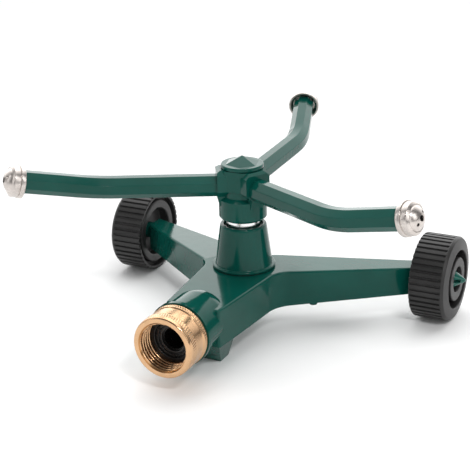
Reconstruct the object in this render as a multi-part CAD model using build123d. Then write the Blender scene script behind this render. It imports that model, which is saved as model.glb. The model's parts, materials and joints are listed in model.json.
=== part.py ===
from build123d import *
import math
import os

# Three-arm rotary lawn sprinkler on a wheeled cast base.
# Millimetres, Z up. Everything is drawn about the post's axis on the ground: X runs along
# the wheel axle and -Y points to the hose. The last step moves the origin under the middle
# of the whole object's box.

# ---- Wheels and axles ----
wheel_r = 24.0
wheel_width = 21.2
wheel_inner_x = 85.6
axle_y = 54.3
axle_z = wheel_r
rib_count = 42
rib_height = 0.9
rib_share = 0.6
rib_length = 18.2
tread_end = 18.4
shoulder = (23.2, 19.9)
wheel_inner_bevel = 0.5
lip_r = 19.4
lip_setback = 0.6
lip_groove_r = 22.0
lip_groove_depth = 4.0
lip_bevel = 0.8
wheel_recess_r = 14.5
wheel_recess_depth = 7.0
web_thickness = 3.0
rim_inner_r = 16.6
hub_ring_r = 12.4
hub_ring_setback = 0.3
hub_recess_r = 7.3
hub_recess_depth = 3.4
axle_r = 3.0
axle_press_depth = 6.0
axle_boss_r = 5.0
axle_boss_back = 7.2
axle_head_r = 4.6
axle_head_rim = 1.4
axle_head_length = 7.8
axle_tip_r = 0.6
axle_window = (1.8, 4.2, 3.3)
wheel_end_gap = 0.3

# ---- Cast base ----
deck_z = 35.8
leg_end_z = 30.4
leg_floor_z = 15.4
leg_end_x = 87.4
leg_front_root = (27.8, 1.3)
leg_front_slope = 37.2
leg_back_root = (0.0, 16.7)
leg_back_slope = 26.4
inlet_leg_half = 15.6
inlet_leg_slope = 5.4
inlet_leg_end_y = -62.0
crotch_round = 18.0
back_round = 12.0
nose_round = 1.5
slope_start = 20.0
edge_round = 1.2
wall = 2.6
water_wall = 3.0
spigot_wall = 3.5
pocket_roof_z = 27.5
pocket_front_y = -40.0
pocket_end_x = 76.0
lug_r = 2.3
lug_drop = 1.2
lug_place = (37.0, 11.4)

# ---- Inlet ----
inlet_z = 25.8
barrel_r = 16.0
barrel_front_y = -74.0
collar_r = 17.4
collar_front_y = -76.4
hump_start_y = -57.0
hump_end_y = -45.5
hump_drop = 8.0
water_r = 6.0
water_end_y = 7.0
cut_over = 1.0

# ---- Foot under the inlet leg: front, back and half width at its top and its sole ----
foot_top_z = 14.6
foot_sink = 0.5
foot_top = (-60.5, -41.0, 14.6)
foot_sole = (-49.0, -40.2, 9.4)

# ---- Swivel nut, hose washer and the sleeve that they turn on ----
nut_r = 16.8
nut_front_y = -94.6
nut_back_y = -76.7
nut_edge = 0.8
nut_back_edge = 0.6
thread_minor_r = 12.5
thread_major_r = 13.5
swivel_ring_y = (-80.0, -77.4)
thread_end_y = -84.4
washer_front_y = -83.8
washer_step = 0.8
washer_r = 12.9
washer_bore_r = 6.6
sleeve_r = 8.0
sleeve_flange_r = 10.6
sleeve_flange_y = -81.4
sleeve_wall = 2.0
end_gap = 0.3
sleeve_back_y = -60.0
sleeve_seal_y = (-66.0, -63.6)
running_gap = 0.06

# ---- Post ----
gasket_top_z = 36.3
post_flange_r = 17.4
flange_top_z = 37.8
flange_edge = 0.5
post_foot_r = 15.9
post_lip_r = 13.0
post_crown = (12.65, 11.9, 0.5)
post_shoulder_z = 59.4
post_top_z = 61.0
post_recess_r = 10.9
post_recess_z = 58.4
spigot_r = 9.0
spigot_end_z = 30.0

# ---- Spindle and rotor bearings ----
spindle_r = 5.0
spindle_bore_r = 3.4
spindle_foot_z = 30.0
spindle_bore_top_z = 86.0
spindle_shoulder_z = 87.4
spindle_top_z = 94.4
spindle_point = 2.0
stud_edge = 0.5
stud_r = 3.8
port_r = 2.0
bush_flange_r = 9.5
bush_shank_r = 8.0
thrust_ring_top_z = 59.2
thrust_ring_edge = 1.0
thrust_ring_gap = 0.3
bush_foot_z = 59.5
bush_edge = 0.4

# ---- Rotor hub ----
skirt_r = 13.2
skirt_z = 64.4
skirt_round = 1.4
skirt_top_z = 76.0
skirt_bevel = 1.6
waist_r = 10.6
waist_top_z = 81.6
core_r = 12.6
core_flat = 11.2
hub_top_z = 93.2
chamber_r = 8.0
chamber_floor_z = 76.4
lower_seal_z = 74.4
plate_r = 9.0
plate_seat_z = 89.6
plate_top_z = 91.0
upper_seal_height = 1.2
boss_reach = 14.4
boss_width = 15.4
boss_bottom_z = 78.0
boss_foot_slant = 3.6
boss_top_slant = 2.7
gusset_z = 72.6
boss_shoulder_z = 92.0
rim_r = 11.7
rim_z = 93.4
cap_seal_r = 10.6
rim_top_z = 95.5
rim_edge = 0.3
rim_top_edge = 0.4
roof_sink = 0.6
roof_r = 10.9
roof_turn = 45.0
roof_tip_r = 0.3
apex_z = 99.6
cap_cavity_r = 7.3
cap_cavity_z = 95.0
retainer_washer_r = 6.0
nut_flats = 9.0
nut_bottom_z = 92.0
nut_top_z = 94.0

# ---- Arms and nozzle caps ----
arm_z = 83.2
arm_azimuths = {"right": -28.5, "back": 91.5, "left": 211.5}
arm_flats = 11.6
arm_bore_r = 3.6
arm_root = 8.2
first_run = 79.3
first_slope = 1.5
bend_turn = 17.5
second_slope = 13.2
bend_radius = 62.0
cap_start = 41.6
cap_length = 10.0
cap_flange_r = 9.1
cap_flange_top = 2.9
cap_flange_edges = (0.35, 0.3)
cap_body_r = 8.1
cap_shoulder = 6.2
cap_shoulder_bevel = (0.3, 0.4)
cap_mouth_r = 6.7
cap_mouth_step = (8.0, 1.7)
cap_chamber = ((0, 8.2), (2.6, 7.9), (4.2, 7.0))
cap_chamber_foot = 6.1
tip_start = 2.4
tip_end = 5.8
tip_r = 5.2
tip_seal = (3.2, 4.4, 4.2)
centre_hole_r = 1.6
side_hole_r = 0.8
side_hole_offset = 3.7
side_hole_turn = 40.0


# ---- Small helpers ----

def rod(radius, bottom, top):
    """A plain round bar about the Z axis."""
    return Pos(0, 0, (bottom + top) / 2) * Cylinder(radius, top - bottom)


def ring(outer, inner, bottom, top):
    """A flat ring about the Z axis."""
    return rod(outer, bottom, top) - rod(inner, bottom - 1, top + 1)


def turned(points):
    """A turned solid about Z from the (radius, height) corners of its half section."""
    return revolve(Plane.XZ * make_face(Polyline(*points, close=True)), Axis.Z)


def along_inlet(solid):
    """Lays a solid that was drawn about Z on the inlet axis, its +Z pointing to the hose."""
    return Pos(0, 0, inlet_z) * Rot(90, 0, 0) * solid


def along_axle(solid, side):
    """Lays a solid that was drawn about Z on the wheel axle, outwards from a wheel's inner face."""
    return Pos(side * wheel_inner_x, axle_y, axle_z) * Rot(0, 90 * side, 0) * solid


def direction(azimuth, slope):
    """A unit vector from its compass angle and its rise, both in degrees."""
    turn = math.radians(azimuth)
    rise = math.radians(slope)
    return Vector(math.cos(turn) * math.cos(rise), math.sin(turn) * math.cos(rise), math.sin(rise))


# ---- Base casting ----

def leg_plan():
    """Plan of the three legs: the inlet leg and the two that reach the wheels."""
    front_rise = math.tan(math.radians(leg_front_slope))
    back_rise = math.tan(math.radians(leg_back_slope))
    widening = math.tan(math.radians(inlet_leg_slope))
    front_x, front_y = leg_front_root
    rise = front_y - front_x * front_rise - inlet_leg_end_y
    crotch_x = (inlet_leg_half + rise * widening) / (1 - front_rise * widening)
    crotch_y = front_y + (crotch_x - front_x) * front_rise
    right = [
        (inlet_leg_half, inlet_leg_end_y),
        (crotch_x, crotch_y),
        (leg_end_x, front_y + (leg_end_x - front_x) * front_rise),
        (leg_end_x, leg_back_root[1] + leg_end_x * back_rise),
    ]
    left = [(-x, y) for x, y in reversed(right)]
    plan = make_face(Polyline(*right, leg_back_root, *left, close=True))
    for corner, radius in ((right[0], nose_round), (right[1], crotch_round), (leg_back_root, back_round)):
        found = [v for v in plan.vertices()
                 if abs(abs(v.X) - corner[0]) < 0.1 and abs(v.Y - corner[1]) < 0.1]
        plan = fillet(found, radius)
    return plan


def deck_slope(side):
    """What is cut off the deck so that a wheel leg's top falls away to the wheel."""
    reach = math.hypot(leg_end_x, axle_y)
    angle = math.degrees(math.atan2(axle_y, leg_end_x))
    fall = (deck_z - leg_end_z) / (reach - slope_start)
    wedge = Polyline((slope_start, deck_z), (reach + 40, leg_end_z - 40 * fall),
                     (reach + 40, deck_z + 20), (slope_start, deck_z + 20), close=True)
    body = Rot(0, 0, angle) * extrude(Plane.XZ * make_face(wedge), 60, both=True)
    return body if side > 0 else mirror(body, Plane.YZ)


def side_profile():
    """Side view of the casting: its deck, and its floor that drops towards the inlet."""
    front = inlet_leg_end_y
    outline = Polyline((front, foot_top_z), (foot_top[1], foot_top_z), (leg_front_root[1], leg_floor_z),
                       (90, leg_floor_z), (90, deck_z), (front, deck_z), close=True)
    return extrude(Plane.YZ * make_face(outline), 110, both=True)


def foot():
    """The tapering third foot under the inlet leg."""
    sections = []
    for height, (front, back, half) in ((foot_top_z + foot_sink, foot_top), (0, foot_sole)):
        sections.append(Pos(0, (front + back) / 2, height) * Rectangle(2 * half, back - front))
    return loft(sections)


def inlet_barrel():
    """The round inlet barrel with its collar, and the hump that runs back into the deck."""
    corners = [(0, -collar_front_y), (collar_r, -collar_front_y), (collar_r, -barrel_front_y),
               (barrel_r, -barrel_front_y), (barrel_r, -hump_start_y)]
    outline = Polyline(*corners)
    end = (barrel_r - hump_drop, -hump_end_y)
    outline += EllipticalCenterArc((barrel_r - hump_drop, -hump_start_y), hump_drop,
                                   hump_end_y - hump_start_y, start_angle=270, arc_size=90)
    outline += Polyline(end, (0, -hump_end_y), (0, -collar_front_y))
    return along_inlet(revolve(Plane.XZ * make_face(outline), Axis.Z))


def pocket():
    """The hollow under the deck, which leaves the walls, the water way and the wheel ends."""
    hollow = Pos(0, 0, -cut_over) * extrude(offset(leg_plan(), -wall), pocket_roof_z + cut_over)
    hollow -= Pos(0, pocket_front_y - deck_z, 0) * Box(4 * inlet_leg_half, 2 * deck_z, 2 * deck_z)
    hollow -= along_inlet(rod(water_r + water_wall, -water_end_y - water_wall, -barrel_front_y))
    hollow -= rod(spigot_r + spigot_wall, 0, deck_z)
    for side in (1, -1):
        wheel_end = Box(2 * wheel_r, 3 * wheel_r, 3 * wheel_r)
        hollow -= Pos(side * (pocket_end_x + wheel_r), axle_y, 0) * wheel_end
    return hollow


def base_casting():
    body = extrude(leg_plan(), deck_z) & side_profile()
    for side in (1, -1):
        body -= deck_slope(side)
    body = fillet(deck_edges(body), edge_round)
    body += foot()
    body += inlet_barrel()
    for side in (1, -1):
        boss_end = wheel_recess_depth - wheel_end_gap
        body += along_axle(rod(axle_boss_r, -axle_boss_back, boss_end), side)
        body += Pos(side * lug_place[0], lug_place[1], leg_floor_z) * Cylinder(lug_r, 2 * lug_drop)
    body -= pocket()
    body -= along_inlet(rod(water_r, -water_end_y, -sleeve_back_y + 1))
    body -= along_inlet(rod(sleeve_r, -sleeve_back_y, -collar_front_y + 1))
    body -= rod(water_r, inlet_z, deck_z)
    body -= rod(spigot_r, spigot_end_z, deck_z + 1)
    for side in (1, -1):
        body -= along_axle(rod(axle_r, -axle_press_depth, wheel_recess_depth), side)
    return body


def deck_edges(body):
    """The edges between the deck and the side walls, without the cut ends in the wheels."""
    outline = leg_plan().face().outer_wire()
    found = []
    for edge in body.edges():
        middle = edge @ 0.5
        on_wall = outline.distance_to(Vertex(middle.X, middle.Y, 0)) < 0.05
        if on_wall and (edge @ 0).Z > leg_end_z - 1 and (edge @ 1).Z > leg_end_z - 1:
            if abs(middle.X) < leg_end_x - 0.1:
                found.append(edge)
    return found


def axle(side):
    """A pressed-in wheel pin whose pointed head, with a window through it, holds the wheel."""
    head = wheel_width - hub_ring_setback - hub_recess_depth + wheel_end_gap
    tip = head + axle_head_length
    pin = turned([(0, -axle_press_depth), (axle_r, -axle_press_depth), (axle_r, head), (axle_head_r, head),
                  (axle_head_r, head + axle_head_rim), (axle_tip_r, tip), (0, tip)])
    height, length, place = axle_window
    pin -= Pos(0, 0, head + place) * Box(height, 3 * axle_head_r, length)
    return along_axle(pin, side)


def wheel(side):
    """A moulded wheel: ribbed tread, smooth outer ring, deep grooves and a bored hub."""
    inner_web = wheel_recess_depth
    outer_web = wheel_recess_depth + web_thickness
    bore = axle_r + running_gap
    hub_face = wheel_width - hub_ring_setback
    lip_top = lip_setback + lip_bevel
    body = turned([
        (bore, inner_web), (wheel_recess_r, inner_web), (wheel_recess_r, lip_top),
        (wheel_recess_r + lip_bevel, lip_setback), (lip_r - lip_bevel, lip_setback), (lip_r, lip_top),
        (lip_r, lip_groove_depth), (lip_groove_r, lip_groove_depth), (lip_groove_r, 0),
        (wheel_r - wheel_inner_bevel, 0), (wheel_r, wheel_inner_bevel), (wheel_r, tread_end),
        shoulder, (rim_inner_r, wheel_width), (rim_inner_r, outer_web),
        (hub_ring_r, outer_web), (hub_ring_r, hub_face), (hub_recess_r, hub_face),
        (hub_recess_r, hub_face - hub_recess_depth), (bore, hub_face - hub_recess_depth)])
    pitch = 360 / rib_count
    gap = (1 - rib_share) * 2 * math.pi * wheel_r / rib_count
    notches = []
    for step in range(rib_count):
        notch = Pos(wheel_r, 0, rib_length / 2 - 1) * Box(2 * rib_height, gap, rib_length + 2)
        notches.append(Rot(0, 0, (step + 0.5) * pitch) * notch)
    return along_axle(body - notches, side)


# ---- Inlet ----

def inlet_sleeve():
    """The tail piece that is pressed into the barrel and holds the swivel nut."""
    neck_bore = sleeve_r - sleeve_wall
    body = turned([
        (neck_bore, -sleeve_back_y), (sleeve_r, -sleeve_back_y), (sleeve_r, -sleeve_seal_y[1]),
        (sleeve_r - 1, -sleeve_seal_y[1]), (sleeve_r - 1, -sleeve_seal_y[0]), (sleeve_r, -sleeve_seal_y[0]),
        (sleeve_r, -swivel_ring_y[0] + 0.2), (sleeve_flange_r, -swivel_ring_y[0] + 0.2),
        (sleeve_flange_r, -sleeve_flange_y), (neck_bore, -sleeve_flange_y)])
    return along_inlet(body)


def sleeve_seal():
    return along_inlet(ring(sleeve_r, sleeve_r - 1, -sleeve_seal_y[1], -sleeve_seal_y[0]))


def swivel_nut():
    """The brass hose coupling, whose inside thread takes the hose."""
    body = turned([
        (washer_r, -nut_back_y), (nut_r - nut_back_edge, -nut_back_y), (nut_r, -nut_back_y + nut_back_edge),
        (nut_r, -nut_front_y - nut_edge), (nut_r - nut_edge, -nut_front_y), (thread_major_r, -nut_front_y),
        (thread_minor_r, -nut_front_y - nut_edge), (thread_minor_r, -thread_end_y),
        (washer_r, -thread_end_y)])
    return along_inlet(body)


def swivel_ring():
    """The ring inside the nut that runs behind the sleeve's flange and holds the nut on."""
    return along_inlet(ring(washer_r, sleeve_r + running_gap, -swivel_ring_y[1], -swivel_ring_y[0]))


def hose_washer():
    """The rubber washer that the hose end presses on, with a stepped face."""
    middle = (washer_r + washer_bore_r) / 2
    back = -sleeve_flange_y + end_gap
    front = -washer_front_y
    body = turned([
        (washer_bore_r, back), (washer_r, back), (washer_r, front), (middle, front),
        (middle, front - washer_step), (washer_bore_r, front - washer_step)])
    return along_inlet(body)


# ---- Post, spindle and bearings ----

def riser_post():
    """The tapering post: it screws into the casting and holds the spindle."""
    crown_r, crown_top_r, crown_drop = post_crown
    return turned([
        (spindle_r, spigot_end_z), (spigot_r, spigot_end_z), (spigot_r, gasket_top_z),
        (post_flange_r - flange_edge, gasket_top_z), (post_flange_r, gasket_top_z + flange_edge),
        (post_flange_r, flange_top_z - flange_edge), (post_flange_r - flange_edge, flange_top_z),
        (post_foot_r, flange_top_z), (post_lip_r, post_shoulder_z), (crown_r, post_top_z - crown_drop),
        (crown_top_r, post_top_z), (post_recess_r, post_top_z), (post_recess_r, post_recess_z),
        (spindle_r, post_recess_z)])


def post_gasket():
    return ring(post_flange_r - 0.9, spigot_r, deck_z, gasket_top_z)


def spindle():
    """The hollow pin that carries the rotor: water leaves it through four side ports."""
    body = turned([
        (0, spindle_bore_top_z), (spindle_bore_r, spindle_bore_top_z - spindle_point),
        (spindle_bore_r, spindle_foot_z),
        (spindle_r, spindle_foot_z), (spindle_r, spindle_shoulder_z), (stud_r, spindle_shoulder_z),
        (stud_r, spindle_top_z - stud_edge), (stud_r - stud_edge, spindle_top_z), (0, spindle_top_z)])
    for turn in (0, 90):
        body -= Pos(0, 0, arm_z) * Rot(0, 0, turn + 45) * Rot(0, 90, 0) * Cylinder(port_r, 4 * spindle_r)
    return body


def thrust_ring():
    outer = post_recess_r - thrust_ring_edge
    return ring(outer, spindle_r + thrust_ring_gap, post_recess_z, thrust_ring_top_z)


def bearing_bush():
    """The bright bush under the hub that turns on the spindle."""
    bore = spindle_r + running_gap
    return turned([
        (bore, bush_foot_z), (bush_flange_r - bush_edge, bush_foot_z),
        (bush_flange_r, bush_foot_z + bush_edge), (bush_flange_r, skirt_z), (bush_shank_r, skirt_z),
        (bush_shank_r, lower_seal_z), (bore, lower_seal_z)])


def lower_seal():
    return ring(bush_shank_r, spindle_r + running_gap, lower_seal_z, chamber_floor_z)


def upper_seal():
    return ring(chamber_r, stud_r + running_gap, plate_seat_z - upper_seal_height, plate_seat_z)


def upper_bush():
    """The plate that closes the chamber and centres the rotor on the spindle's stud."""
    return ring(plate_r, stud_r + running_gap, plate_seat_z, plate_top_z)


def retaining_washer():
    return ring(retainer_washer_r, stud_r, plate_top_z + end_gap, nut_bottom_z)


def retaining_nut():
    """The hexagon nut that keeps the rotor on the spindle."""
    hexagon = RegularPolygon(nut_flats / 2, 6, major_radius=False)
    body = Pos(0, 0, nut_bottom_z) * extrude(hexagon, nut_top_z - nut_bottom_z)
    return body - rod(stud_r, nut_bottom_z - 1, nut_top_z + 1)


# ---- Rotor ----

def arm_frame(azimuth):
    """The root point, the bend's corner and the two directions of an arm."""
    first = direction(azimuth, first_slope)
    second = direction(azimuth + bend_turn, second_slope)
    centre = Vector(0, 0, arm_z)
    return centre + first * arm_root, centre + first * first_run, first, second


def tangent(azimuth):
    """The level direction across a run, which keeps a flat on top of the octagon."""
    return direction(azimuth + 90, 0)


def arm_path(azimuth, length):
    root, corner, _, second = arm_frame(azimuth)
    return FilletPolyline(root, corner, corner + second * length, radius=bend_radius)


def arm_outside(azimuth):
    """The octagonal outside of an arm, swept along its run and its bend."""
    root, _, first, _ = arm_frame(azimuth)
    start = Plane(origin=root, x_dir=tangent(azimuth), z_dir=first)
    octagon = RegularPolygon(arm_flats / 2, 8, major_radius=False, rotation=22.5)
    return sweep(start * octagon, path=arm_path(azimuth, cap_start + tip_start))


def cap_plane(azimuth):
    """Where a nozzle cap's back face is, its Z along the arm's second run."""
    _, corner, _, second = arm_frame(azimuth)
    return Plane(origin=corner + second * cap_start, x_dir=tangent(azimuth + bend_turn), z_dir=second)


def arm(azimuth):
    """A bent octagonal tube with a turned tip for its nozzle cap."""
    root, _, first, _ = arm_frame(azimuth)
    start = Plane(origin=root, x_dir=tangent(azimuth), z_dir=first)
    body = arm_outside(azimuth)
    seat_bottom, seat_top, seat_r = tip_seal
    tip = turned([
        (0, tip_start - 0.5), (tip_r, tip_start - 0.5), (tip_r, seat_bottom), (seat_r, seat_bottom),
        (seat_r, seat_top), (tip_r, seat_top), (tip_r, tip_end), (0, tip_end)])
    body += cap_plane(azimuth) * tip
    bore = sweep(start * Circle(arm_bore_r), path=arm_path(azimuth, cap_start + tip_end + 0.01))
    return body - bore


def nozzle_seal(azimuth):
    seat_bottom, seat_top, seat_r = tip_seal
    return cap_plane(azimuth) * ring(tip_r, seat_r, seat_bottom, seat_top)


def nozzle_cap(azimuth):
    """A turned cap with a flange for the fingers, a domed nose and three water holes."""
    bore = tip_r + running_gap
    seat = tip_start + end_gap
    back_edge, front_edge = cap_flange_edges
    bevel, bevel_height = cap_shoulder_bevel
    dome_r = cap_body_r - bevel
    mouth_face = (cap_mouth_step[0], 0)
    outside = Polyline((bore, seat), (cap_mouth_r, seat), (cap_mouth_r, cap_mouth_step[1]), mouth_face,
                       (cap_flange_r - back_edge, 0), (cap_flange_r, back_edge),
                       (cap_flange_r, cap_flange_top - front_edge), (cap_body_r, cap_flange_top),
                       (cap_body_r, cap_shoulder - bevel_height), (dome_r, cap_shoulder))
    rise = cap_length - cap_shoulder
    dome = ThreePointArc((dome_r, cap_shoulder), (dome_r / 2, cap_length - rise / 4), (0, cap_length))
    inside = Polyline((0, cap_length), *cap_chamber, (bore, cap_chamber_foot), (bore, seat))
    body = revolve(Plane.XZ * make_face(outside + dome + inside), Axis.Z)
    body -= rod(centre_hole_r, cap_shoulder, cap_length + cut_over)
    for turn in (side_hole_turn, side_hole_turn + 180):
        hole = rod(side_hole_r, tip_end, cap_length + cut_over)
        body -= Rot(0, 0, turn) * Pos(side_hole_offset, 0, 0) * hole
    return cap_plane(azimuth) * body


def arm_boss(azimuth):
    """A socket for one arm: a block with slanting corners that stands on a narrow gusset."""
    half = boss_width / 2
    foot_half = half - boss_foot_slant
    top_half = half - boss_top_slant
    side = Polyline((0, gusset_z), (skirt_r - 0.2, gusset_z), (boss_reach, boss_bottom_z),
                    (boss_reach, boss_shoulder_z), (core_r, hub_top_z), (0, hub_top_z), close=True)
    body = extrude(Plane.XZ * make_face(side), half, both=True)
    end_view = Polyline((-half, boss_bottom_z + boss_foot_slant), (-foot_half, boss_bottom_z),
                        (-foot_half, gusset_z), (foot_half, gusset_z), (foot_half, boss_bottom_z),
                        (half, boss_bottom_z + boss_foot_slant), (half, hub_top_z - boss_top_slant),
                        (top_half, hub_top_z), (-top_half, hub_top_z),
                        (-half, hub_top_z - boss_top_slant), close=True)
    body &= extrude(Plane.YZ * make_face(end_view), 40)
    return Rot(0, 0, azimuth) * body


def rotor_hub():
    """The hub: round skirt, narrow waist and a core with flats between three sockets."""
    skirt = turned([
        (0, skirt_z), (skirt_r - skirt_round, skirt_z),
        (skirt_r - 0.4 * skirt_round, skirt_z + 0.4 * skirt_round),
        (skirt_r, skirt_z + skirt_round), (skirt_r, skirt_top_z), (waist_r, skirt_top_z + skirt_bevel),
        (0, skirt_top_z + skirt_bevel)])
    core = rod(core_r, waist_top_z, hub_top_z)
    for azimuth in arm_azimuths.values():
        flat = Pos(core_flat + 10, 0, arm_z) * Box(20, 60, 60)
        core -= Rot(0, 0, azimuth + 60) * flat
    body = skirt + rod(waist_r, skirt_top_z - 1, waist_top_z + 1) + core
    for azimuth in arm_azimuths.values():
        body += arm_boss(azimuth)
    for azimuth in arm_azimuths.values():
        body -= arm_outside(azimuth)
    for azimuth in arm_azimuths.values():
        body -= Pos(0, 0, arm_z) * Rot(0, 0, azimuth) * Rot(0, 90, 0) * rod(arm_bore_r, 0, arm_root + 1)
    body -= rod(bush_shank_r, skirt_z - 1, chamber_floor_z)
    body -= rod(chamber_r, chamber_floor_z, plate_seat_z)
    return body - rod(plate_r, plate_seat_z, hub_top_z + 1)


def cap_seal():
    return ring(cap_seal_r, plate_r, hub_top_z, rim_z)


def hub_cap():
    """The cap that screws into the hub: a round rim with a low six-sided roof."""
    body = turned([
        (0, plate_top_z), (plate_r, plate_top_z), (plate_r, rim_z), (rim_r - rim_edge, rim_z),
        (rim_r, rim_z + rim_edge),
        (rim_r, rim_top_z - rim_top_edge), (rim_r - rim_top_edge, rim_top_z), (0, rim_top_z)])
    base = Pos(0, 0, rim_top_z - roof_sink) * RegularPolygon(roof_r, 6, rotation=roof_turn)
    peak = Pos(0, 0, apex_z) * RegularPolygon(roof_tip_r, 6, rotation=roof_turn)
    body += loft([base, peak])
    return body - rod(cap_cavity_r, plate_top_z - 1, cap_cavity_z)


# ---- The whole object ----

def all_parts():
    parts = {
        "base_casting": base_casting(),
        "inlet_sleeve": inlet_sleeve(),
        "sleeve_seal": sleeve_seal(),
        "swivel_nut": swivel_nut(),
        "swivel_ring": swivel_ring(),
        "hose_washer": hose_washer(),
        "riser_post": riser_post(),
        "post_gasket": post_gasket(),
        "spindle": spindle(),
        "thrust_ring": thrust_ring(),
        "bearing_bush": bearing_bush(),
        "lower_seal": lower_seal(),
        "rotor_hub": rotor_hub(),
        "upper_seal": upper_seal(),
        "upper_bush": upper_bush(),
        "retaining_washer": retaining_washer(),
        "retaining_nut": retaining_nut(),
        "cap_seal": cap_seal(),
        "hub_cap": hub_cap(),
    }
    for name, side in (("right", 1), ("left", -1)):
        parts["axle_" + name] = axle(side)
        parts["wheel_" + name] = wheel(side)
    for name, azimuth in arm_azimuths.items():
        parts["arm_" + name] = arm(azimuth)
        parts["nozzle_seal_" + name] = nozzle_seal(azimuth)
        parts["nozzle_cap_" + name] = nozzle_cap(azimuth)
    return parts


def show_point(label, point):
    print(label, [round(value, 3) for value in point])


parts = all_parts()
boxes = [part.bounding_box() for part in parts.values()]
low = Vector(*(min(getattr(box.min, side) for box in boxes) for side in "XYZ"))
high = Vector(*(max(getattr(box.max, side) for box in boxes) for side in "XYZ"))
shift = Vector(-(low.X + high.X) / 2, -(low.Y + high.Y) / 2, -low.Z)

os.makedirs("parts", exist_ok=True)
for name, part in parts.items():
    export_step(Pos(*shift) * part, "parts/" + name + ".step")

show_point("shift", shift)
show_point("box size", high - low)
show_point("rotor axis", shift)
show_point("axle", Vector(0, axle_y, axle_z) + shift)
show_point("inlet mouth", Vector(0, nut_front_y, inlet_z) + shift)
show_point("foot sole", Vector(0, (foot_sole[0] + foot_sole[1]) / 2, 0) + shift)
for name, azimuth in arm_azimuths.items():
    plane = cap_plane(azimuth)
    show_point("nozzle " + name, plane.origin + shift)
    show_point("nozzle axis " + name, plane.z_dir)
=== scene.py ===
import json
import math

import bmesh
import bpy
from bpy.props import FloatProperty, FloatVectorProperty, IntProperty, PointerProperty
from mathutils import Matrix, Vector, geometry


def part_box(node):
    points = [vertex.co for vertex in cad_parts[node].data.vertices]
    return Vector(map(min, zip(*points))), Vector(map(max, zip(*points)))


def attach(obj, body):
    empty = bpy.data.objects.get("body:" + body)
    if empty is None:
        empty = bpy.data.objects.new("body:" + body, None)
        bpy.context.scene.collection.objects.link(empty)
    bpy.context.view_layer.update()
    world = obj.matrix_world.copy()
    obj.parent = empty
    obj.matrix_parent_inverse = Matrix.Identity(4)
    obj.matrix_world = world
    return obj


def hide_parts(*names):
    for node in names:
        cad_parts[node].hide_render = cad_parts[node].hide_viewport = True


bl_info = {
    "name": "Rotary Lawn Sprinkler",
    "version": (1, 0, 0),
    "blender": (4, 5, 0),
    "location": "View3D > Sidebar > Sprinkler",
    "description": "Dresses the packed lawn sprinkler with its turned pieces, finishes and stage",
    "category": "Object",
}

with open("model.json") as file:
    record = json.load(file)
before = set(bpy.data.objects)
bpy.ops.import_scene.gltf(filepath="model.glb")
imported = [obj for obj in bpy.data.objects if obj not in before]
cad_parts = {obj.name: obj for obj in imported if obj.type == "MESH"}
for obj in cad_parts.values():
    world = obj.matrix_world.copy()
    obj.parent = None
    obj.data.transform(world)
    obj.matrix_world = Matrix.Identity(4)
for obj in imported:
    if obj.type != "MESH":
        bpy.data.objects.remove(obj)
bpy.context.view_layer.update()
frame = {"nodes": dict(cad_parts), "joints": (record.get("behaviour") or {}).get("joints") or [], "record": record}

# Every piece is drawn in millimetres about its own axis and then set in the frame, in metres.
MM = 0.001
FULL_TURN = 2 * math.pi
EIGHTH = math.radians(22.5)
NODES = frame["nodes"]
JOINTS = {joint["name"]: joint for joint in frame["joints"]}
MOUNTS = {mount["name"]: mount for mount in frame["record"]["mounts"]}
ARMS = ("right", "back", "left")
WHEELS = {"right": 1, "left": -1}


# ---- Sizes and colours ----

def length(name, description, default):
    """A size in metres for the sidebar, from its value in millimetres."""
    return FloatProperty(name=name, description=description, default=default * MM, min=0,
                         precision=5, unit="LENGTH", subtype="DISTANCE")


def tint(name, description, default):
    """A colour for the sidebar."""
    return FloatVectorProperty(name=name, description=description, default=default, size=3,
                               min=0, max=1, subtype="COLOR")


class RotorSizes(bpy.types.PropertyGroup):
    arm_flats: length("Arm across flats", "Width of an arm's octagon between two flats", 11.6)
    arm_edge: length("Arm edge round", "Radius along an arm's eight edges", 0.55)
    arm_root: length("Arm root", "How far from the post's axis an arm starts", 8.2)
    arm_height: length("Arm height", "Height at which the arms meet the post's axis", 83.2)
    bend_radius: length("Bend radius", "Radius of the bend near an arm's end", 62.0)
    cap_start: length("Cap start", "From an arm's bend corner to its nozzle cap", 41.6)
    casting_edge: length("Casting edge round", "Radius on the hub's cast edges", 0.75)


class NozzleSizes(bpy.types.PropertyGroup):
    flange: length("Flange radius", "Radius of the flange at a cap's back", 9.1)
    body: length("Body radius", "Radius of a cap's plain body", 8.5)
    reach: length("Cap length", "From a cap's back face to the top of its nose", 10.0)
    bore: length("Bore radius", "Radius of the bore that takes the arm's tip", 5.26)
    centre_hole: length("Middle hole radius", "Radius of the middle water hole", 1.6)
    side_hole: length("Side hole radius", "Radius of the two side water holes", 0.8)
    side_offset: length("Side hole offset", "From the cap's axis to a side hole", 3.7)
    side_turn: FloatProperty(name="Side hole turn", description="Angle of the side holes about the axis",
                             default=math.radians(40), subtype="ANGLE", unit="ROTATION")
    rim: length("Nose rim", "Radius where a cap's domed nose meets its shoulder", 6.4)


class CouplingSizes(bpy.types.PropertyGroup):
    outside: length("Nut radius", "Outside radius of the swivel nut", 16.8)
    thread_minor: length("Thread minor radius", "Radius inside the hose thread's crests", 12.5)
    thread_depth: length("Thread depth", "Depth of the hose thread", 1.15)
    thread_pitch: length("Thread pitch", "Distance from one thread turn to the next", 2.2)
    knurls: IntProperty(name="Knurls", description="Grooves round the nut's grip bands", default=76, min=0)
    knurl_depth: length("Knurl depth", "Depth of the grip bands' pattern", 0.2)


class WheelSizes(bpy.types.PropertyGroup):
    ribs: IntProperty(name="Tread ribs", description="Ribs round a wheel", default=42, min=3)
    rib_height: length("Rib height", "Depth of the gaps between the ribs", 0.9)
    rib_length: length("Rib length", "Length of the ribs from the wheel's inner edge", 18.2)
    rib_share: FloatProperty(name="Rib share", description="Share of the tread that the ribs take",
                             default=0.6, min=0.1, max=0.95, subtype="FACTOR")


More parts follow.
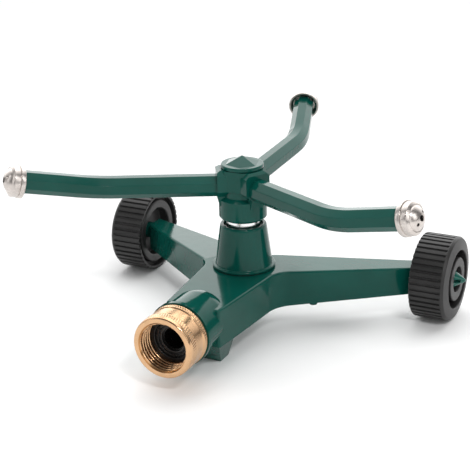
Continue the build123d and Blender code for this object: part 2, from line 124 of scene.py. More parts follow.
class FinishColours(bpy.types.PropertyGroup):
    enamel: tint("Enamel", "Green enamel of the castings and the arms", (0.003, 0.072, 0.056))
    enamel_deep: tint("Deep enamel", "Where the enamel lies thicker", (0.0022, 0.060, 0.046))
    pin: tint("Wheel pin", "Green plastic of the wheel pins", (0.004, 0.105, 0.078))
    brass: tint("Brass", "Turned brass of the hose coupling", (0.68, 0.425, 0.24))
    nickel: tint("Nickel", "Satin metal of the nozzle caps", (0.62, 0.57, 0.535))
    bright: tint("Bright metal", "Turned metal of the bush", (0.88, 0.88, 0.88))
    steel: tint("Steel", "Spindle and washer", (0.58, 0.58, 0.60))
    wheel: tint("Wheel plastic", "Dark moulded plastic of the wheels", (0.014, 0.0135, 0.0135))
    rubber: tint("Rubber", "Washers and seals", (0.007, 0.0065, 0.0062))
    glide: tint("Glide plastic", "Low-friction ring", (0.80, 0.80, 0.77))


class StageSettings(bpy.types.PropertyGroup):
    floor: tint("Floor", "Pale floor under the sprinkler", (0.93, 0.93, 0.93))
    sky: FloatProperty(name="Sky", description="Strength of the white surroundings", default=0.2, min=0)
    back_glow: FloatProperty(name="Back glow", description="Strength of the bright wall behind", default=2.3, min=0)
    lens: length("Lens", "Focal length of the camera", 106.14)


# ---- Shader recipes ----

class Signal:
    """One output of a shader node. Sums and products of signals add their own Math nodes."""

    def __init__(self, recipe, socket):
        self.recipe = recipe
        self.socket = socket

    def _math(self, operation, first, second):
        return self.recipe.add("ShaderNodeMath", {"operation": operation}, {0: first, 1: second})

    def __add__(self, other):
        return self._math("ADD", self, other)

    __radd__ = __add__

    def __sub__(self, other):
        return self._math("SUBTRACT", self, other)

    def __rsub__(self, other):
        return self._math("SUBTRACT", other, self)

    def __mul__(self, other):
        return self._math("MULTIPLY", self, other)

    __rmul__ = __mul__

    def above(self, level):
        return self._math("GREATER_THAN", self, level)


class Recipe:
    """A material under construction: one Principled shader and the nodes that feed it."""

    def __init__(self, name):
        self.material = bpy.data.materials.new(name)
        self.material.use_nodes = True
        self.tree = self.material.node_tree
        self.shader = self.tree.nodes["Principled BSDF"]

    def add(self, kind, settings=None, values=None, output=0):
        """Adds a node: its settings first, then the values or links of its sockets."""
        node = self.tree.nodes.new(kind)
        for key, value in (settings or {}).items():
            if key == "stops":
                set_stops(node.color_ramp, value)
            else:
                setattr(node, key, value)
        for key, value in (values or {}).items():
            self.feed(node.inputs[key], value)
        return Signal(self, node.outputs[output])

    def feed(self, socket, value):
        if isinstance(value, Signal):
            self.tree.links.new(value.socket, socket)
        else:
            socket.default_value = value

    def fix(self, **constants):
        """Sets constants on the shader's own sockets, named with _ for a space."""
        for key, value in constants.items():
            self.shader.inputs[key.replace("_", " ")].default_value = value

    def drive(self, **signals):
        """Links what changes over the surface to the shader's sockets."""
        for key, value in signals.items():
            self.feed(self.shader.inputs[key.replace("_", " ")], value)

    def place(self):
        """Position in the frame at rest, in metres."""
        return self.add("ShaderNodeTexCoord", output="Object")

    def noise(self, scale, detail=2.0, roughness=0.5, vector=None):
        where = vector if vector is not None else self.place()
        return self.add("ShaderNodeTexNoise", {}, {"Vector": where, "Scale": scale, "Detail": detail,
                                                   "Roughness": roughness}, output="Fac")

    def ramp(self, signal, *stops):
        """A value that follows the stops' (place, grey) pairs."""
        colours = [(place, (grey, grey, grey, 1)) for place, grey in stops]
        return self.add("ShaderNodeValToRGB", {"stops": colours}, {0: signal}, output="Color")

    def within(self, signal, low, high):
        """A value that rises from 0 to 1 between two levels of a signal."""
        return self.add("ShaderNodeMapRange", {"clamp": True}, {0: signal, 1: low, 2: high})

    def blend(self, factor, first, second):
        """A colour between two colours."""
        return self.add("ShaderNodeMix", {"data_type": "RGBA"},
                        {"Factor": factor, "A": solid(first), "B": solid(second)}, output="Result")

    def turning_marks(self, fineness):
        """Fine rings that a lathe leaves, from a turned mesh's stored distance along its axis and out of it."""
        along = self.add("ShaderNodeAttribute", {"attribute_name": "along"}, output="Fac")
        out = self.add("ShaderNodeAttribute", {"attribute_name": "out"}, output="Fac")
        path = self.add("ShaderNodeCombineXYZ", {}, {0: along * fineness, 1: out * fineness})
        return self.noise(1.0, 3.0, 0.6, path)

    def bump(self, height, strength, distance, under=None):
        values = {"Height": height, "Strength": strength, "Distance": distance}
        if under is not None:
            values["Normal"] = under
        return self.add("ShaderNodeBump", {}, values)


def set_stops(ramp, stops):
    while len(ramp.elements) < len(stops):
        ramp.elements.new(1.0)
    for element, (place, colour) in zip(ramp.elements, stops):
        element.position = place
        element.color = colour


def solid(colour):
    """A colour with its alpha, or the signal that it already is."""
    return colour if isinstance(colour, Signal) else (*colour, 1.0)


def make_enamel(recipe, colours):
    """Gloss enamel on die-cast metal: a slight flow in the coat and thicker paint here and there."""
    pool = recipe.ramp(recipe.noise(38.0, 3.0), (0.35, 0.0), (0.68, 1.0))
    smear = recipe.noise(90.0, 4.0, 0.6)
    flow = recipe.noise(160.0, 2.0)
    peel = recipe.noise(620.0, 2.0)
    recipe.fix(IOR=1.47, Specular_IOR_Level=0.22)
    recipe.drive(Base_Color=recipe.blend(pool, colours.enamel, colours.enamel_deep),
                 Roughness=smear * 0.07 + 0.07,
                 Normal=recipe.bump(peel, 0.05, 0.0002, recipe.bump(flow, 0.06, 0.0008)))


def make_pin(recipe, colours):
    """Glossy green moulded plastic."""
    grain = recipe.noise(900.0, 2.0)
    recipe.fix(IOR=1.47)
    recipe.drive(Base_Color=recipe.blend(recipe.noise(300.0), colours.pin, colours.enamel),
                 Roughness=grain * 0.1 + 0.15, Normal=recipe.bump(grain, 0.05, 0.0001))


def make_metal(recipe, colour, dull, polish, marks, strength):
    """Turned metal: rings from the lathe, with duller patches."""
    rings = recipe.turning_marks(marks)
    patches = recipe.ramp(recipe.noise(140.0, 4.0, 0.6), (0.38, 0.0), (0.66, 1.0))
    shown = recipe.blend(patches * 0.7 + rings * 0.3, colour, dull)
    recipe.fix(Metallic=1.0)
    recipe.drive(Base_Color=shown, Roughness=patches * 0.10 + rings * 0.10 + polish,
                 Normal=recipe.bump(rings, strength, 0.0001))
    return shown


def make_brass(recipe, colours):
    """Bright turned brass, with painted shade darkening the bottoms of the thread's grooves."""
    shown = make_metal(recipe, colours.brass, [c * 0.88 for c in colours.brass], 0.13, 5.0, 0.16)
    out = recipe.add("ShaderNodeAttribute", {"attribute_name": "out"}, output="Fac")
    # Painted shade: the colour darkens towards the bottoms of the thread's grooves, where shade falls between the
    # crests.
    painted_root_shade = recipe.within(out, 12.75, 13.3) * (1 - recipe.within(out, 13.72, 13.8))
    recipe.drive(Base_Color=recipe.blend(painted_root_shade, shown, (0.46, 0.225, 0.085)))


def make_nickel(recipe, colours):
    """Satin nickel of the nozzle caps, speckled on their sides."""
    shown = make_metal(recipe, colours.nickel, [c * 0.88 for c in colours.nickel], 0.19, 6.0, 0.18)
    out = recipe.add("ShaderNodeAttribute", {"attribute_name": "out"}, output="Fac")
    speckle = recipe.ramp(recipe.noise(1500.0, 3.0, 0.7), (0.42, 0.0), (0.62, 1.0))
    side = recipe.within(out, 8.1, 8.4) * speckle
    recipe.drive(Base_Color=recipe.blend(side * 0.4, shown, [c * 0.6 for c in colours.nickel]))


def make_bright(recipe, colours):
    """Bright turned bush."""
    make_metal(recipe, colours.bright, [c * 0.92 for c in colours.bright], 0.10, 4.0, 0.10)


def make_steel(recipe, colours):
    """Turned steel of the inner pieces."""
    make_metal(recipe, colours.steel, [c * 0.8 for c in colours.steel], 0.25, 4.0, 0.15)


def make_wheel(recipe, colours):
    """Matt moulded plastic with a fine spark-eroded grain and a little dust."""
    grain = recipe.noise(2600.0, 3.0, 0.6)
    cloud = recipe.ramp(recipe.noise(120.0, 3.0), (0.35, 0.0), (0.7, 1.0))
    light = [c * 1.45 + 0.004 for c in colours.wheel]
    recipe.fix(IOR=1.5, Specular_IOR_Level=0.38)
    recipe.drive(Base_Color=recipe.blend(cloud * 0.6 + grain * 0.4, colours.wheel, light),
                 Roughness=grain * 0.16 + 0.36, Normal=recipe.bump(grain, 0.22, 0.0001))


def make_rubber(recipe, colours):
    """Moulded black rubber with a dusty bloom."""
    bloom = recipe.ramp(recipe.noise(400.0, 4.0), (0.4, 0.0), (0.75, 1.0))
    light = [c * 1.8 for c in colours.rubber]
    recipe.drive(Base_Color=recipe.blend(bloom, colours.rubber, light), Roughness=bloom * 0.15 + 0.26,
                 Normal=recipe.bump(recipe.noise(1800.0, 3.0), 0.2, 0.0001))


def make_glide(recipe, colours):
    """Waxy white plastic."""
    grain = recipe.noise(700.0, 3.0)
    dull = [c * 0.9 for c in colours.glide]
    recipe.drive(Base_Color=recipe.blend(grain, colours.glide, dull), Roughness=grain * 0.15 + 0.35,
                 Normal=recipe.bump(grain, 0.1, 0.0001))


FINISHES = {
    "green_paint": make_enamel, "green_plastic": make_pin, "brass": make_brass,
    "nozzle_metal": make_nickel, "bright_metal": make_bright, "steel": make_steel,
    "wheel_plastic": make_wheel, "black_plastic": make_rubber, "rubber": make_rubber,
    "white_plastic": make_glide,
}


def finish(name):
    """The material for one of the record's slots, made once."""
    label = "finish_" + name
    if label not in bpy.data.materials:
        recipe = Recipe(label)
        FINISHES[name](recipe, bpy.context.scene.sprinkler_colours)
    return bpy.data.materials[label]


# ---- Shapes ----

def seat(origin, axis, across):
    """Where a piece stands: its own Z goes along the axis, its X along what is left of across."""
    z = Vector(axis).normalized()
    x = Vector(across)
    x = (x - z * z.dot(x)).normalized()
    turn = Matrix((x, z.cross(x), z)).transposed().to_4x4()
    return Matrix.Translation(Vector(origin)) @ turn @ Matrix.Scale(MM, 4)


def post_seat():
    x, y, _ = JOINTS["rotor_spin"]["pos_m"]
    return seat((x, y, 0), (0, 0, 1), (1, 0, 0))


def inlet_seat():
    """On the inlet's axis: its Z points to the hose and starts at the post."""
    x, _, z = MOUNTS["hose_inlet"]["pos_m"]
    return seat((x, JOINTS["rotor_spin"]["pos_m"][1], z), (0, -1, 0), (1, 0, 0))


def wheel_seat(name):
    """At the middle of a wheel's inner face, its Z pointing outwards."""
    low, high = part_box("wheel_" + name)
    side = WHEELS[name]
    inner = low.x if side > 0 else high.x
    return seat((inner, (low.y + high.y) / 2, (low.z + high.z) / 2), (side, 0, 0), (0, side, 0))


def nozzle_seat(name):
    """At a nozzle cap's back face, its Z along the arm's end and its X level."""
    joint = JOINTS["nozzle_" + name + "_turn"]
    axis = Vector(joint["axis"])
    return seat(joint["pos_m"], axis, (-axis.y, axis.x, 0))


def eased(points, radii, steps=4, closed=True):
    """The outline with each corner replaced by an arc of its radius, or kept where that is 0."""
    result = []
    count = len(points)
    for k, (point, radius) in enumerate(zip(points, radii)):
        if radius <= 0 or (not closed and k in (0, count - 1)):
            result.append(tuple(point))
            continue
        here = Vector(point)
        before = Vector(points[k - 1]) - here
        after = Vector(points[(k + 1) % count]) - here
        opening = before.angle(after)
        reach = radius / math.tan(opening / 2)
        reach = min(reach, 0.48 * before.length, 0.48 * after.length)
        radius = reach * math.tan(opening / 2)
        middle = (before.normalized() + after.normalized()).normalized()
        centre = here + middle * (radius / math.sin(opening / 2))
        start = here + before.normalized() * reach - centre
        end = here + after.normalized() * reach - centre
        sweep = start.angle_signed(end)
        for step in range(steps + 1):
            turn = Matrix.Rotation(-sweep * step / steps, 2)
            result.append(tuple(centre + turn @ start))
    return result


def spaced(low, high, count):
    """Evenly spaced values from low to high."""
    return [low + (high - low) * k / (count - 1) for k in range(count)]


def even_angles(count):
    return [FULL_TURN * k / count for k in range(count)]


def turned(outline, angles, shape=None, closed=True):
    """Vertices and faces of a half section turned about Z. A shape moves each point's radius."""
    verts, rows, faces = [], [], []
    for radius, height in outline:
        if radius < 1e-6:
            rows.append([len(verts)] * len(angles))
            verts.append((0.0, 0.0, height))
            continue
        rows.append(list(range(len(verts), len(verts) + len(angles))))
        for angle in angles:
            r = shape(radius, height, angle) if shape else radius
            verts.append((r * math.cos(angle), r * math.sin(angle), height))
    pairs = list(zip(rows, rows[1:]))
    if closed:
        pairs.append((rows[-1], rows[0]))
    for lower, upper in pairs:
        for k in range(len(angles)):
            j = (k + 1) % len(angles)
            corners = list(dict.fromkeys((lower[k], lower[j], upper[j], upper[k])))
            if len(corners) > 2:
                faces.append(corners)
    return verts, faces


def new_piece(name, verts, faces, where, slot, body, nodes, sharp=50):
    """A mesh piece in the frame, with its finish, that rides on a body and stands for CAD nodes."""
    mesh = bpy.data.meshes.new(name)
    mesh.from_pydata(verts, [], faces)
    for label, values in (("along", [v[2] for v in verts]),
                          ("out", [math.hypot(v[0], v[1]) for v in verts])):
        mesh.attributes.new(label, "FLOAT", "POINT").data.foreach_set("value", values)
    work = bmesh.new()
    work.from_mesh(mesh)
    bmesh.ops.remove_doubles(work, verts=work.verts, dist=0.0005)
    bmesh.ops.recalc_face_normals(work, faces=work.faces)
    work.to_mesh(mesh)
    work.free()
    mesh.transform(where)
    mesh.shade_smooth()
    mesh.set_sharp_from_angle(angle=math.radians(sharp))
    mesh.materials.append(finish(slot))
    piece = bpy.data.objects.new(name, mesh)
    bpy.context.scene.collection.objects.link(piece)
    weigh_normals(piece)
    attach(piece, body)
    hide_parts(*nodes)
    return piece


def weigh_normals(piece):
    shading = piece.modifiers.new("Even shading", "WEIGHTED_NORMAL")
    shading.keep_sharp = True
    shading.weight = 50


def paint(node, slot):
    """Gives a CAD node its finish."""
    for place in NODES[node].material_slots:
        place.material = finish(slot)


def ease_casting(node, radius):
    """Rounds a CAD casting's sharp edges, as paint over a cast edge does."""
    piece = NODES[node]
    weld = piece.modifiers.new("Join faces", "WELD")
    weld.merge_threshold = 0.002 * MM
    flat = piece.modifiers.new("Whole faces", "DECIMATE")
    flat.decimate_type = "DISSOLVE"
    flat.angle_limit = math.radians(0.4)
    edge = piece.modifiers.new("Soft edges", "BEVEL")
    edge.limit_method = "ANGLE"
    edge.angle_limit = math.radians(32)
    edge.width = radius
    edge.segments = 3
    edge.miter_outer = "MITER_ARC"
    weigh_normals(piece)


# ---- Pieces ----

class SPRINKLER_OT_base(bpy.types.Operator):
    """Finish the cast base and soften its edges"""
    bl_idname = "sprinkler.base"
    bl_label = "Base casting"

    def execute(self, context):
        paint("base_casting", "green_paint")
        ease_casting("base_casting", 0.4 * MM)
        return {"FINISHED"}


class SPRINKLER_OT_post(bpy.types.Operator):
    """Turn the tapering post and the bright bush above it"""
    bl_idname = "sprinkler.post"
    bl_label = "Post and bush"

    def execute(self, context):
        post = [(5.0, 30.0, 0), (9.0, 30.0, 0.3), (9.0, 36.3, 0), (17.4, 36.3, 0.5), (17.4, 37.8, 0.5),
                (15.9, 37.8, 0.5), (13.0, 59.4, 1.2), (12.75, 61.0, 0.9), (10.9, 61.0, 0.3),
                (10.9, 58.4, 0.2), (5.0, 58.4, 0)]
        bush = [(5.06, 59.5, 0.2), (9.5, 59.5, 0.4), (9.5, 64.4, 0.1), (8.0, 64.4, 0), (8.0, 74.4, 0),
                (5.06, 74.4, 0)]
        for name, corners, slot, body in (("post", post, "green_paint", "base"),
                                          ("bush", bush, "bright_metal", "rotor")):
            outline = eased([c[:2] for c in corners], [c[2] for c in corners])
            verts, faces = turned(outline, even_angles(144))
            node = {"post": "riser_post", "bush": "bearing_bush"}[name]
            new_piece("turned_" + name, verts, faces, post_seat(), slot, body, [node])
        return {"FINISHED"}


class SPRINKLER_OT_hub(bpy.types.Operator):
    """Finish the rotor's hub and cap and soften their edges"""
    bl_idname = "sprinkler.hub"
    bl_label = "Hub and cap"

    def execute(self, context):
        edge = context.scene.sprinkler_rotor.casting_edge
        for node in ("rotor_hub", "hub_cap"):
            paint(node, "green_paint")
            ease_casting(node, edge)
        return {"FINISHED"}


def arm_line(name, sizes):
    """Points along an arm's middle and its direction at each, in the frame."""
    joint = JOINTS["nozzle_" + name + "_turn"]
    end, second = Vector(joint["pos_m"]), Vector(joint["axis"]).normalized()
    x, y, _ = JOINTS["rotor_spin"]["pos_m"]
    centre = Vector((x, y, sizes.arm_height))
    corner = end - second * sizes.cap_start
    first = (corner - centre).normalized()
    turn = first.angle(second)
    reach = sizes.bend_radius * math.tan(turn / 2)
    hinge = first.cross(second).normalized()
    bend_start = corner - first * reach
    to_centre = hinge.cross(first) * sizes.bend_radius
    line = [(centre + first * sizes.arm_root, first)]
    for angle in spaced(0.0, turn, 15):
        spin = Matrix.Rotation(angle, 3, hinge)
        line.append((bend_start + to_centre - spin @ to_centre, spin @ first))
    line.append((end + second * 2.3 * MM, second))
    return line


class SPRINKLER_OT_arms(bpy.types.Operator):
    """Draw the three bent octagonal arms"""
    bl_idname = "sprinkler.arms"
    bl_label = "Arms"

    def execute(self, context):
        sizes = context.scene.sprinkler_rotor
        corner = sizes.arm_flats / 2 / math.cos(EIGHTH)
        octagon = [(corner * math.cos(EIGHTH * (2 * k + 1)), corner * math.sin(EIGHTH * (2 * k + 1)))
                   for k in range(8)]
        section = eased(octagon, [sizes.arm_edge] * 8)
        for name in ARMS:
            verts, faces = [], []
            line = arm_line(name, sizes)
            shrink = [(line[0], 1.0)] + [(stop, 1.0) for stop in line[1:]]
            last, direction = line[-1]
            shrink[-1] = ((last - direction * 0.35 * MM, direction), 1.0)
            shrink.append(((last, direction), 0.94))
            for (point, direction), share in shrink:
                across = Vector((-direction.y, direction.x, 0)).normalized()
                upward = direction.cross(across)
                verts.extend(point + (across * u + upward * v) * share for u, v in section)
            count = len(section)
            for row in range(len(shrink) - 1):
                for k in range(count):
                    j = (k + 1) % count
                    a, b = row * count, (row + 1) * count
                    faces.append((a + k, a + j, b + j, b + k))
            faces.append(tuple(range(count))[::-1])
            faces.append(tuple(range(len(verts) - count, len(verts))))
            verts = [v / MM for v in verts]
            new_piece("arm_tube_" + name, verts, faces, Matrix.Scale(MM, 4), "green_paint", "rotor",
                      ["arm_" + name])
        return {"FINISHED"}


def pierced_disc(radius, rings, holes, height):
    """A domed disc with round holes: its triangles, and each hole's edge in order."""
    points, edges = [], []

    def add_circle(centre, r, count):
        start = len(points)
        for angle in even_angles(count):
            points.append(Vector((centre[0] + r * math.cos(angle), centre[1] + r * math.sin(angle))))
        loop = list(range(start, start + count))
        edges.extend(zip(loop, loop[1:] + loop[:1]))
        return loop

    add_circle((0, 0), radius, rings)
    hole_loops = [add_circle((x, y), r, 32) for x, y, r in holes]
    lips = [add_circle((x, y), r + 0.18, 32) for x, y, r in holes]
    del lips
    for share in spaced(0.12, 0.94, 9):
        for angle in even_angles(max(12, int(rings * share / 2))):
            x, y = radius * share * math.cos(angle), radius * share * math.sin(angle)
            if all(math.hypot(x - hx, y - hy) > r + 0.35 for hx, hy, r in holes):
                points.append(Vector((x, y)))
    flat, _, triangles, sources, _, _ = geometry.delaunay_2d_cdt(points, edges, [], 0, 1e-6)
    where = {source: k for k, found in enumerate(sources) for source in found}
    kept = []
    for triangle in triangles:
        x = sum(flat[k].x for k in triangle) / 3
        y = sum(flat[k].y for k in triangle) / 3
        if all(math.hypot(x - hx, y - hy) > r for hx, hy, r in holes):
            kept.append(tuple(triangle))
    verts = []
    for p in flat:
        drop = 0.0
        for hx, hy, r in holes:
            if math.hypot(p.x - hx, p.y - hy) < r + 0.05:
                drop = 0.14
        verts.append((p.x, p.y, height(p.length) - drop))
    return verts, kept, [[where[k] for k in loop] for loop in hole_loops]


class SPRINKLER_OT_nozzles(bpy.types.Operator):
    """Turn the three nozzle caps and drill their water holes"""
    bl_idname = "sprinkler.nozzles"
    bl_label = "Nozzle caps"

    def execute(self, context):
        sizes = context.scene.sprinkler_nozzles
        steps = 144
        flange, body, reach = sizes.flange / MM, sizes.body / MM, sizes.reach / MM
        bore, offset = sizes.bore / MM, sizes.side_offset / MM
        rim, edge = sizes.rim / MM, 7.05
        holes = [(0.0, 0.0, sizes.centre_hole / MM)]
        for turn in (sizes.side_turn, sizes.side_turn + math.pi):
            holes.append((offset * math.cos(turn), offset * math.sin(turn), sizes.side_hole / MM))
        crown = (rim * rim + (reach - edge) ** 2) / 2 / (reach - edge)

        def nose(r):
            return reach - crown + math.sqrt(crown * crown - r * r)

        def ceiling(r):
            return 8.2 - 2.1 * (r / bore) ** 2

        corners = [(rim, edge, 0), (rim + 0.12, edge - 0.25, 0.1), (rim + 0.4, edge - 0.2, 0.1),
                   (rim + 0.55, 7.05, 0.15), (body, 5.95, 0.6),
                   (body, 2.75, 0.1), (body - 0.3, 2.6, 0.1), (flange - 0.05, 2.4, 0.25),
                   (flange, 0.0, 0.3), (8.0, 0.0, 0.1), (6.7, 1.7, 0.2),
                   (6.7, 2.7, 0), (bore, 2.7, 0), (bore, ceiling(bore), 0)]
        outline = eased([c[:2] for c in corners], [c[2] for c in corners], closed=False)
        angles = even_angles(steps * 3)
        for name in ARMS:
            verts, faces = turned(outline, angles, closed=False)
            for radius, height in ((rim, nose), (bore, ceiling)):
                disc, triangles, loops = pierced_disc(radius, len(angles), holes, height)
                start = len(verts)
                verts.extend(disc)
                faces.extend(tuple(k + start for k in t) for t in triangles)
                if height is nose:
                    tops = [[k + start for k in loop] for loop in loops]
                else:
                    floors = [[k + start for k in loop] for loop in loops]
            for top, floor in zip(tops, floors):
                for k in range(len(top)):
                    j = (k + 1) % len(top)
                    faces.append((top[k], top[j], floor[j], floor[k]))
            new_piece("cap_" + name, verts, faces, nozzle_seat(name), "nozzle_metal", "nozzle_" + name,
                      ["nozzle_cap_" + name], sharp=42)
        return {"FINISHED"}


class SPRINKLER_OT_coupling(bpy.types.Operator):
    """Turn the brass swivel nut with its thread and grip bands, and the washer inside it"""
    bl_idname = "sprinkler.coupling"
    bl_label = "Hose coupling"

    def execute(self, context):
        sizes = context.scene.sprinkler_coupling
        outside, minor = sizes.outside / MM, sizes.thread_minor / MM
        depth, pitch = sizes.thread_depth / MM, sizes.thread_pitch / MM
        front, back, thread_end = 94.6, 76.7, 84.4
        bands = ((77.5, 79.7), (88.6, 92.3))

        def cut(r, z, angle):
            if r < minor + 1.3 and z > thread_end + 0.05:
                turn = (z / pitch - angle / FULL_TURN) % 1.0
                flank = max(0.0, min(1.0, 1.75 - abs(turn - 0.5) * 4.6))
                fade = max(0.0, min(1.0, (z - thread_end) / 1.2))
                return max(r, minor + depth * flank * fade)
            for low, high in bands:
                if r > outside - 0.2 and low < z < high:
                    lean = (z - low) / 6.0 * FULL_TURN / sizes.knurls
                    edge = min(1.0, (z - low) / 0.3, (high - z) / 0.3)
                    groove = 0.5 + 0.5 * math.cos((angle + lean) * sizes.knurls)
                    return r - sizes.knurl_depth / MM * edge * groove ** 2
            return r

        corners = [(12.9, back, 0), (outside - 0.1, back, 0.5), (outside - 0.1, 77.3, 0.1),
                   (outside, 77.5, 0), (outside, 79.7, 0), (outside - 0.05, 80.0, 0.1),
                   (outside - 0.75, 80.6, 0.2), (outside - 0.75, 81.0, 0.2), (outside - 0.2, 81.6, 0.15),
                   (outside - 0.2, 88.3, 0.1), (outside, 88.6, 0), (outside, 92.3, 0),
                   (outside - 0.15, 92.6, 0.1), (outside - 0.1, front, 0.9), (minor + 1.3, front, 0.25),
                   (minor, front - 1.0, 0.0),
                   (minor, thread_end, 0), (12.9, thread_end, 0)]
        outline = eased([c[:2] for c in corners], [c[2] for c in corners])
        fine = []
        for before, after in zip(outline, outline[1:] + outline[:1]):
            fine.append(before)
            run = abs(after[1] - before[1])
            grip = before[0] > outside - 0.01 and after[0] > outside - 0.01
            thread = before[0] < minor + 1.2 and after[0] < minor + 1.2 and min(before[1], after[1]) > 84
            if run > 0.5 and (grip or thread):
                count = int(run / 0.14) + 2
                fine.extend(zip(spaced(before[0], after[0], count)[1:-1], spaced(before[1], after[1], count)[1:-1]))
        verts, faces = turned(fine, even_angles(sizes.knurls * 6), cut)
        new_piece("swivel_nut_turned", verts, faces, inlet_seat(), "brass", "coupling", ["swivel_nut"], sharp=60)
        washer = [(6.6, 81.7, 0.2), (12.9, 81.7, 0.2), (12.9, 83.8, 0.3), (10.4, 83.8, 0.4),
                  (10.0, 82.4, 0.15), (9.5, 82.4, 0.15), (9.3, 83.1, 0.25), (8.6, 83.1, 0.25),
                  (8.4, 82.2, 0.1), (7.9, 82.2, 0.1), (7.7, 82.8, 0.2), (6.6, 82.8, 0.4)]
        outline = eased([c[:2] for c in washer], [c[2] for c in washer])
        verts, faces = turned(outline, even_angles(120))
        new_piece("hose_washer_moulded", verts, faces, inlet_seat(), "rubber", "coupling", ["hose_washer"])
        return {"FINISHED"}


class SPRINKLER_OT_wheels(bpy.types.Operator):
    """Mould the ribbed wheels and finish their pointed pins"""
    bl_idname = "sprinkler.wheels"
    bl_label = "Wheels and pins"

    def execute(self, context):
        sizes = context.scene.sprinkler_wheels
        height, run = sizes.rib_height / MM, sizes.rib_length / MM
        half_gap = (1 - sizes.rib_share) / 2
        pitch = FULL_TURN / sizes.ribs

        def tread(r, z, angle):
            if r < 22.6:
                return r
            turn = (angle / pitch) % 1.0
            off = min(turn, 1 - turn)
            side = max(0.0, min(1.0, (half_gap + 0.03 - off) / 0.1))
            end = max(0.0, min(1.0, (run + 0.1 - z) / 0.8))
            return min(r, 24.0 - height * side * end) if side * end > 0 else r

        corners = [(3.06, 7.0, 0.2), (14.5, 7.0, 0.6), (14.5, 0.6, 1.0), (19.4, 0.6, 1.0), (19.4, 4.0, 0.3),
                   (22.0, 4.0, 0.3), (22.0, 0.0, 0.2), (24.0, 0.0, 0.45), (24.0, 18.6, 0.35),
                   (23.1, 20.0, 1.0), (16.6, 21.2, 0.5), (16.6, 10.0, 0.4), (12.4, 10.0, 0.4),
                   (12.4, 20.9, 0.5), (7.3, 20.9, 0.5), (7.3, 17.5, 0.4), (3.06, 17.5, 0.1)]
        outline = eased([c[:2] for c in corners], [c[2] for c in corners])
        fine = []
        for before, after in zip(outline, outline[1:] + outline[:1]):
            fine.append(before)
            if before[0] > 23.99 and after[0] > 23.99 and after[1] - before[1] > 5:
                fine.extend((24.0, z) for z in [1.2, 4.0, 8.0, 12.0, 15.0])
                fine.extend((24.0, z) for z in spaced(17.5, 18.3, 4))
        steps = (0.0, half_gap - 0.07, half_gap - 0.02, half_gap + 0.03, half_gap + 0.06, 0.38)
        shares = [*steps, 0.5, *(1 - step for step in steps[:0:-1])]
        angles = [pitch * (k + share) for k in range(sizes.ribs) for share in shares]
        for name in WHEELS:
            verts, faces = turned(fine, angles, tread)
            new_piece("tyre_" + name, verts, faces, wheel_seat(name), "wheel_plastic", "wheel_" + name,
                      ["wheel_" + name], sharp=55)
            paint("axle_" + name, "green_plastic")
            ease_casting("axle_" + name, 0.22 * MM)
        return {"FINISHED"}


class SPRINKLER_OT_inner_pieces(bpy.types.Operator):
    """Finish the spindle, the seals and the other inner pieces"""
    bl_idname = "sprinkler.inner_pieces"
    bl_label = "Inner pieces"

    def execute(self, context):
        for part in frame["record"]["subparts"]:
            node = NODES[part["node"]]
            if not node.hide_render:
                paint(part["node"], part["material_slot"])
        return {"FINISHED"}


# ---- Stage ----

def area_light(name, place, target, size, power, shade=(1.0, 1.0, 1.0)):
    """A rectangular soft light that faces its target."""
    lamp = bpy.data.lights.new(name, "AREA")
    lamp.shape = "RECTANGLE"
    lamp.size, lamp.size_y = size
    lamp.energy = power
    lamp.color = shade
    light = bpy.data.objects.new(name, lamp)
    bpy.context.scene.collection.objects.link(light)
    light.location = place
    light.rotation_euler = (Vector(target) - Vector(place)).to_track_quat("-Z", "Y").to_euler()


def make_floor(settings):
    """A wide pale floor."""
    recipe = Recipe("floor_paper")
    recipe.fix(IOR=1.3, Specular_IOR_Level=0.2)
    fibre = recipe.noise(60.0, 3.0)
    shade = [c * 0.985 for c in settings.floor]
    recipe.drive(Base_Color=recipe.blend(fibre, settings.floor, shade), Roughness=fibre * 0.05 + 0.85)
    mesh = bpy.data.meshes.new("floor")
    reach = 6.0
    mesh.from_pydata([(-reach, -reach, 0), (reach, -reach, 0), (reach, reach, 0), (-reach, reach, 0)], [],
                     [(0, 1, 2, 3)])
    mesh.materials.append(recipe.material)
    floor = bpy.data.objects.new("floor", mesh)
    floor.location.z = -0.0002
    bpy.context.scene.collection.objects.link(floor)


def make_sky(settings, behind):
    """White surroundings that are brightest low behind the sprinkler."""
    world = bpy.data.worlds.new("White surroundings")
    world.use_nodes = True
    tree = world.node_tree
    background = tree.nodes["Background"]

    def add(kind, operation, *values):
        node = tree.nodes.new(kind)
        if operation:
            node.operation = operation
        for socket, value in zip(node.inputs, values):
            if isinstance(value, bpy.types.NodeSocket):
                tree.links.new(value, socket)
            else:
                socket.default_value = value
        return node.outputs

    direction = tree.nodes.new("ShaderNodeTexCoord").outputs["Generated"]
    facing = add("ShaderNodeVectorMath", "DOT_PRODUCT", direction, behind)["Value"]
    glow = add("ShaderNodeMapRange", None, facing, 0.35, 0.85, 0.0, 1.0)["Result"]
    strength = add("ShaderNodeMath", "MULTIPLY_ADD", glow, settings.back_glow, settings.sky)["Value"]
    tree.links.new(strength, background.inputs["Strength"])
    background.inputs["Color"].default_value = (1.0, 1.0, 1.0, 1.0)
    bpy.context.scene.world = world


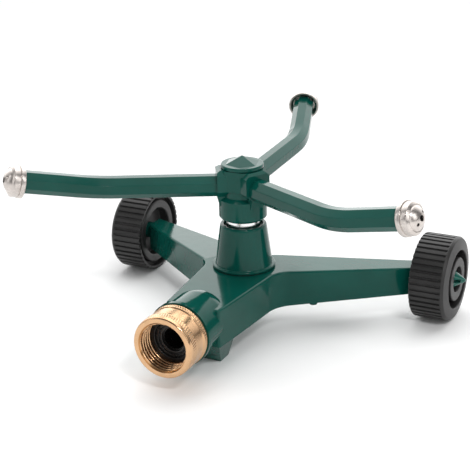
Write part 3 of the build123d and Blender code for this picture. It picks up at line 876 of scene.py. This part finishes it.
def make_camera(settings):
    """The camera, at a customer's eye over the hose end."""
    azimuth, elevation, roll = math.radians(26.82), math.radians(21.01), math.radians(-1.23)
    right = Vector((math.cos(azimuth), math.sin(azimuth), 0))
    up = Vector((-math.sin(azimuth) * math.sin(elevation), math.cos(azimuth) * math.sin(elevation),
                 math.cos(elevation)))
    back = right.cross(up)
    leaning = Matrix((right * math.cos(roll) + up * math.sin(roll),
                      up * math.cos(roll) - right * math.sin(roll), back)).transposed()
    lens = bpy.data.cameras.new("Camera")
    lens.lens = settings.lens / MM
    lens.sensor_width = 36.0
    camera = bpy.data.objects.new("Camera", lens)
    bpy.context.scene.collection.objects.link(camera)
    place = Vector((0.31833, -0.64012, 0.32819)) + Vector((*JOINTS["rotor_spin"]["pos_m"][:2], 0))
    camera.matrix_world = Matrix.Translation(place) @ leaning.to_4x4()
    bpy.context.scene.camera = camera
    return back


class SPRINKLER_OT_stage(bpy.types.Operator):
    """Lay the floor, light the scene and set up the camera"""
    bl_idname = "sprinkler.stage"
    bl_label = "Stage"

    def execute(self, context):
        settings = context.scene.sprinkler_stage
        make_floor(settings)
        back = make_camera(settings)
        behind = Vector((-back.x, -back.y, 0.42)).normalized()
        make_sky(settings, behind)
        middle = (0, 0, 0.05)
        area_light("Ceiling", (0.05, 0.1, 1.3), middle, (1.0, 1.0), 4.0)
        area_light("Key window", (0.62, -0.62, 0.9), middle, (0.26, 0.12), 4.2)
        area_light("Left strip", (-0.9, -0.75, 0.55), middle, (0.25, 0.9), 1.6)
        area_light("Right window", (1.1, -0.35, 0.6), middle, (0.5, 0.7), 2.2)
        area_light("Front window", (0.55, -1.25, 0.45), middle, (1.0, 0.6), 2.0)
        context.scene.view_settings.view_transform = "Standard"
        return {"FINISHED"}


# ---- Sidebar ----

PIECES = (SPRINKLER_OT_base, SPRINKLER_OT_post, SPRINKLER_OT_hub, SPRINKLER_OT_arms, SPRINKLER_OT_nozzles,
          SPRINKLER_OT_coupling, SPRINKLER_OT_wheels, SPRINKLER_OT_inner_pieces, SPRINKLER_OT_stage)
SETTINGS = {"sprinkler_rotor": RotorSizes, "sprinkler_nozzles": NozzleSizes,
            "sprinkler_coupling": CouplingSizes, "sprinkler_wheels": WheelSizes,
            "sprinkler_colours": FinishColours, "sprinkler_stage": StageSettings}


class SPRINKLER_PT_maker(bpy.types.Panel):
    """Sizes, colours and pieces of the sprinkler"""
    bl_idname = "SPRINKLER_PT_maker"
    bl_label = "Lawn sprinkler"
    bl_space_type = "VIEW_3D"
    bl_region_type = "UI"
    bl_category = "Sprinkler"

    def draw(self, context):
        for piece in PIECES:
            self.layout.operator(piece.bl_idname)
        for name, group in SETTINGS.items():
            box = self.layout.box()
            for field in group.__annotations__:
                box.prop(getattr(context.scene, name), field)


def register():
    for group in SETTINGS.values():
        bpy.utils.register_class(group)
    for name, group in SETTINGS.items():
        setattr(bpy.types.Scene, name, PointerProperty(type=group))
    for piece in PIECES:
        bpy.utils.register_class(piece)
    bpy.utils.register_class(SPRINKLER_PT_maker)


def unregister():
    bpy.utils.unregister_class(SPRINKLER_PT_maker)
    for piece in reversed(PIECES):
        bpy.utils.unregister_class(piece)
    for name in SETTINGS:
        delattr(bpy.types.Scene, name)
    for group in SETTINGS.values():
        bpy.utils.unregister_class(group)


def main():
    register()
    for piece in PIECES:
        group, name = piece.bl_idname.split(".")
        getattr(getattr(bpy.ops, group), name)()


if __name__ == "__main__":
    main()
